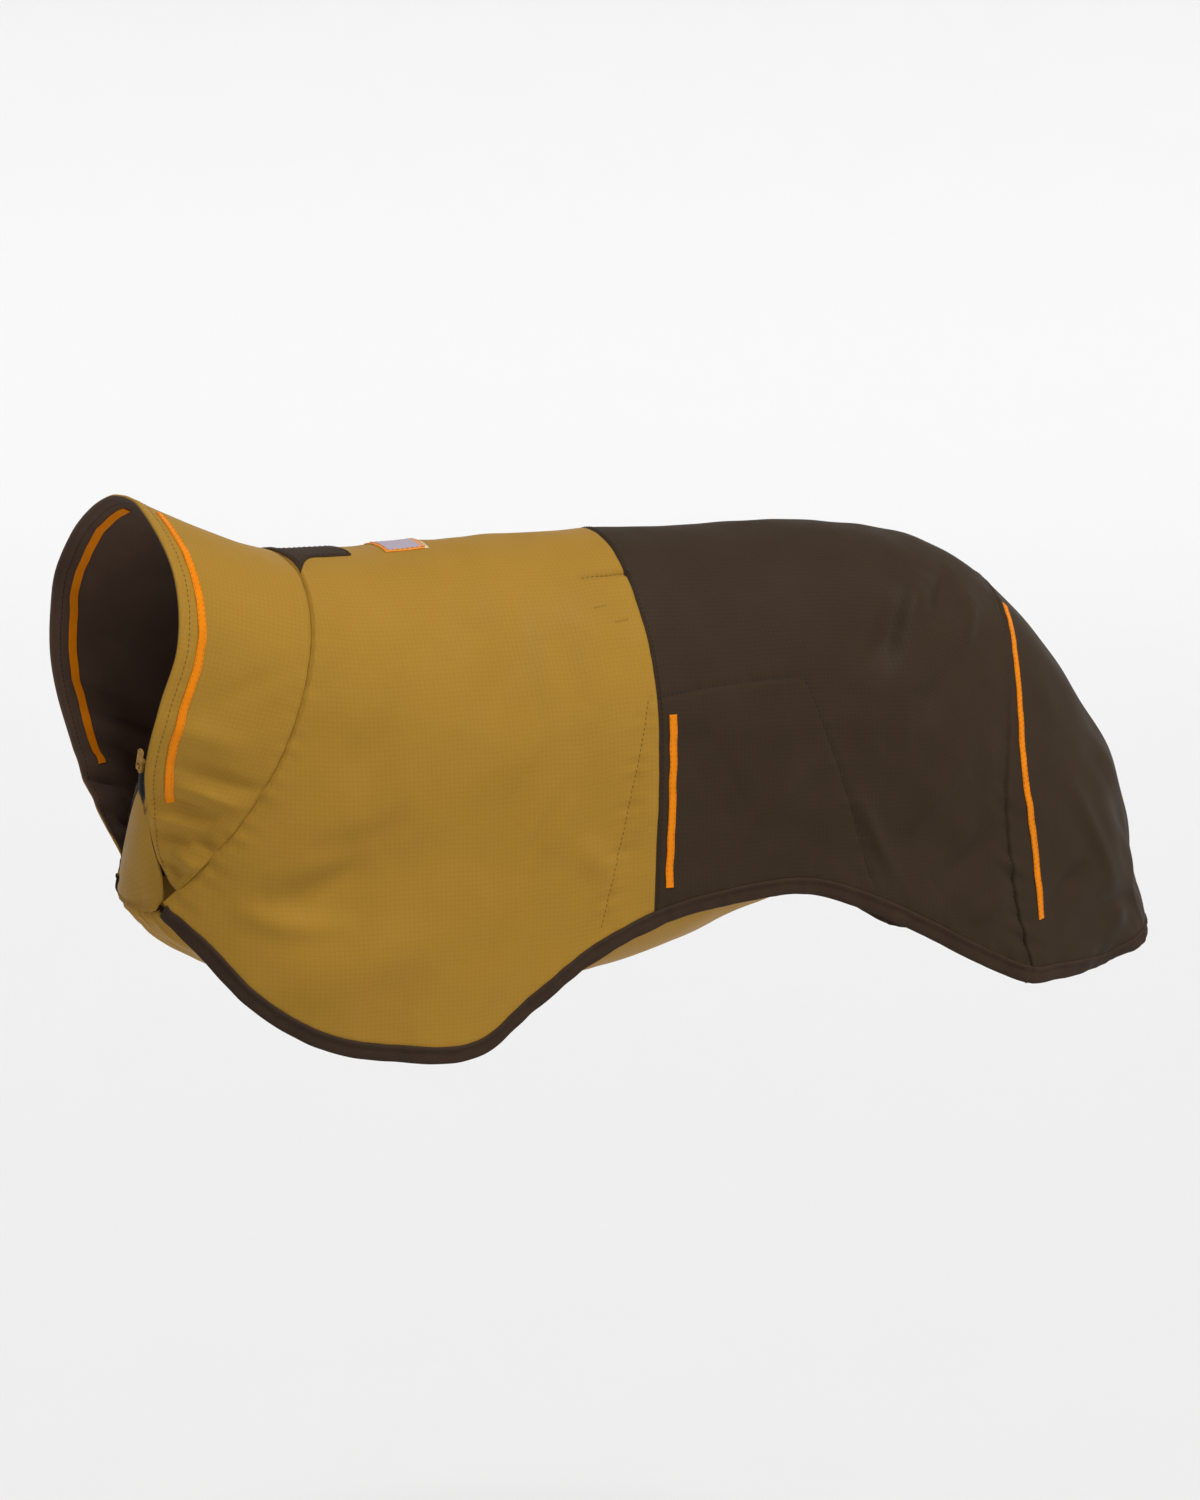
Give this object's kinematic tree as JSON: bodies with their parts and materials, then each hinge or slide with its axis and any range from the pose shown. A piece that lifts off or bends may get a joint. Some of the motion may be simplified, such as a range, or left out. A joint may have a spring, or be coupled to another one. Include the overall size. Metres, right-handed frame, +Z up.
{
  "type": "dog raincoat",
  "caption": "Dog raincoat in ochre and brown shell cloth with a standing collar on a short zip, belly panel, bound hem and reflective strips.",
  "frame": {"origin": "inner face of the back on the centre line over the withers, where the wearer carries the coat", "axes": "+X from head to tail along the back, +Y towards the wearer's right side, +Z up"},
  "size_m": [0.7331, 0.1962, 0.3455],
  "materials": {
    "ochre_shell": "ochre ripstop shell cloth with a low sheen",
    "brown_shell": "dark brown ripstop shell cloth with a low sheen",
    "lining": "dark brown plain lining",
    "binding": "dark elastic binding tape",
    "reflective": "orange reflective tape",
    "label": "woven label with an orange edge",
    "zip_plastic": "black nylon coil zip",
    "zip_slider": "ochre coated slider and pull tab"
  },
  "bodies": {
    "coat": {"yoke_panel": "ochre_shell", "rear_panel": "brown_shell", "tail_panel": "brown_shell", "hem_binding": "binding", "collar_shell": "ochre_shell", "collar_lining": "lining", "collar_strip_left": "reflective", "collar_strip_right": "reflective", "lining_strip_left": "reflective", "lining_strip_right": "reflective", "side_strip_left": "reflective", "side_strip_right": "reflective", "rear_strip_left": "reflective", "rear_strip_right": "reflective", "leash_patch": "binding", "plain_label": "label", "throat_gusset": "ochre_shell", "gusset_piping": "binding", "belly_panel": "ochre_shell", "zip_chain": "zip_plastic", "zip_slider": "zip_slider", "zip_guard": "lining"},
    "zip_pull": {"zip_pull_tab": "zip_slider"}
  },
  "joints": [
    {"name": "pull_tab_hinge", "type": "hinge", "parent": "coat", "child": "zip_pull", "pos_m": [-0.21266, -0.06545, -0.10701], "axis": [0.3478, -0.8645, -0.3629], "range_deg": [0, 165]}
  ]
}
